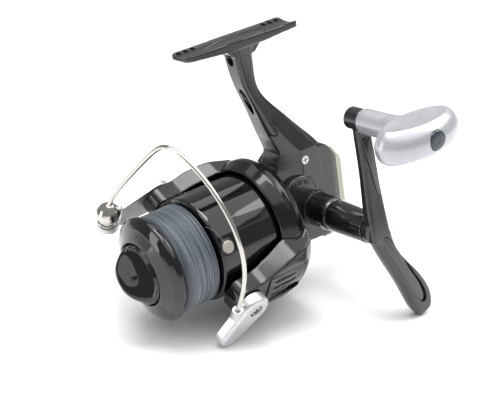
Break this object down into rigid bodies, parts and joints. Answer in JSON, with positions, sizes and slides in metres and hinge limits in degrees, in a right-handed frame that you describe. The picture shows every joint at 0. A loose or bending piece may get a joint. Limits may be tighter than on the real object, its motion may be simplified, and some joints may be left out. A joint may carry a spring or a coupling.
{
  "type": "spinning reel",
  "caption": "Front-drag spinning fishing reel with a folding wire bail, a rotor, a line spool and a side crank with a paddle knob.",
  "frame": {"origin": "centre of the foot's rod-side face", "axes": "+X along the spool axis towards the spool's front, +Y along the handle axis towards the handle, +Z from the spool axis towards the rod"},
  "size_m": [0.1451, 0.1575, 0.1571],
  "materials": {
    "case_black": "satin charcoal paint",
    "guard_champagne": "pale champagne, satin",
    "silver": "satin machined",
    "steel": "ground",
    "wire_steel": "polished",
    "brass": "turned",
    "zinc": "as cut gear alloy",
    "rotor_black": "satin black",
    "spool_gloss": "high gloss black lacquer over aluminium",
    "line": "blue-grey nylon line",
    "felt": "oiled felt",
    "nylon": "moulded nylon",
    "handle_black": "satin charcoal",
    "sleeve_gloss": "gloss black",
    "knob_pearl": "pearl silver paint, satin",
    "cap_blue": "dark blue-grey",
    "clip_beige": "pale"
  },
  "bodies": {
    "body": {"housing": "case_black", "side_cover": "case_black", "cover_screws": "silver", "rear_guard": "guard_champagne", "trim_plate": "silver", "drive_bearings": "steel", "pinion_bearing": "steel", "clutch_ring": "steel", "clutch_rollers": "steel", "bearing_retainer": "steel", "retainer_screws": "steel", "guide_rod": "steel"},
    "anti_reverse": {"anti_reverse_lever": "case_black"},
    "crank": {"drive_gear": "zinc", "drive_shaft": "steel", "handle_shank": "steel", "handle_collar": "sleeve_gloss", "handle_sleeve": "sleeve_gloss", "sleeve_pins": "silver", "handle_arm": "handle_black", "knob_spindle": "steel", "knob_screw": "steel"},
    "knob": {"knob_shell": "knob_pearl", "knob_bushes": "nylon", "knob_cap": "cap_blue"},
    "rotor": {"rotor": "rotor_black", "rotor_nut": "silver", "pinion": "brass", "clutch_sleeve": "steel", "bail_arm_cover": "rotor_black", "counter_arm_cover": "rotor_black", "arm_cover_screws": "steel", "bail_spring": "steel", "trip_lever": "steel", "bail_pivot_screws": "silver"},
    "worm": {"worm_shaft": "steel"},
    "bail": {"bail_lever": "silver", "counter_arm": "silver", "bail_wire": "wire_steel", "roller_bush": "nylon", "roller_cap": "wire_steel", "roller_screw": "steel"},
    "line_roller": {"line_roller": "wire_steel"},
    "shaft": {"main_shaft": "steel", "slider": "zinc", "slider_screw": "steel", "spool_seat": "nylon", "seat_pin": "steel", "click_gear": "nylon", "keyed_washers": "steel"},
    "spool": {"spool": "spool_gloss", "line_winding": "line", "line_clip": "clip_beige", "drag_felts": "felt", "eared_washers": "steel", "drag_retainer": "steel", "click_pawl": "nylon"},
    "drag_knob": {"drag_knob": "spool_gloss", "knob_nut": "brass", "drag_spring": "steel"}
  },
  "joints": [
    {"name": "crank_turn", "type": "hinge", "parent": "body", "child": "crank", "pos_m": [-0.0263, 0, -0.1013], "axis": [0, 1, 0], "continuous": true},
    {"name": "knob_spin", "type": "hinge", "parent": "crank", "child": "knob", "pos_m": [-0.0283, 0.08, -0.0428], "axis": [0, 1, 0], "continuous": true},
    {"name": "rotor_spin", "type": "hinge", "parent": "body", "child": "rotor", "pos_m": [0, 0, -0.1013], "axis": [1, 0, 0], "continuous": true},
    {"name": "worm_spin", "type": "hinge", "parent": "body", "child": "worm", "pos_m": [-0.03, -0.0042, -0.10926], "axis": [1, 0, 0], "continuous": true},
    {"name": "bail_open", "type": "hinge", "parent": "rotor", "child": "bail", "pos_m": [0.04, -0.00097, -0.10305], "axis": [0, -0.8746, 0.4848], "range_deg": [-105, 0]},
    {"name": "roller_spin", "type": "hinge", "parent": "bail", "child": "line_roller", "pos_m": [0.069, -0.04173, -0.08583], "axis": [0, 0.4848, 0.8746], "continuous": true},
    {"name": "spool_stroke", "type": "slide", "parent": "body", "child": "shaft", "axis": [1, 0, 0], "range_m": [-0.008, 0.008]},
    {"name": "drag_slip", "type": "hinge", "parent": "shaft", "child": "spool", "pos_m": [0.06, 0, -0.1013], "axis": [1, 0, 0], "continuous": true},
    {"name": "drag_adjust", "type": "hinge", "parent": "shaft", "child": "drag_knob", "pos_m": [0.08, 0, -0.1013], "axis": [1, 0, 0], "range_deg": [-540, 540]},
    {"name": "anti_reverse_switch", "type": "hinge", "parent": "body", "child": "anti_reverse", "pos_m": [-0.02, 0, -0.1193], "axis": [0, 0, -1], "range_deg": [0, 35]}
  ],
  "couplings": [
    {"joint": "rotor_spin", "follows": "crank_turn", "ratio": -4.75},
    {"joint": "worm_spin", "follows": "crank_turn", "ratio": 2.375}
  ]
}
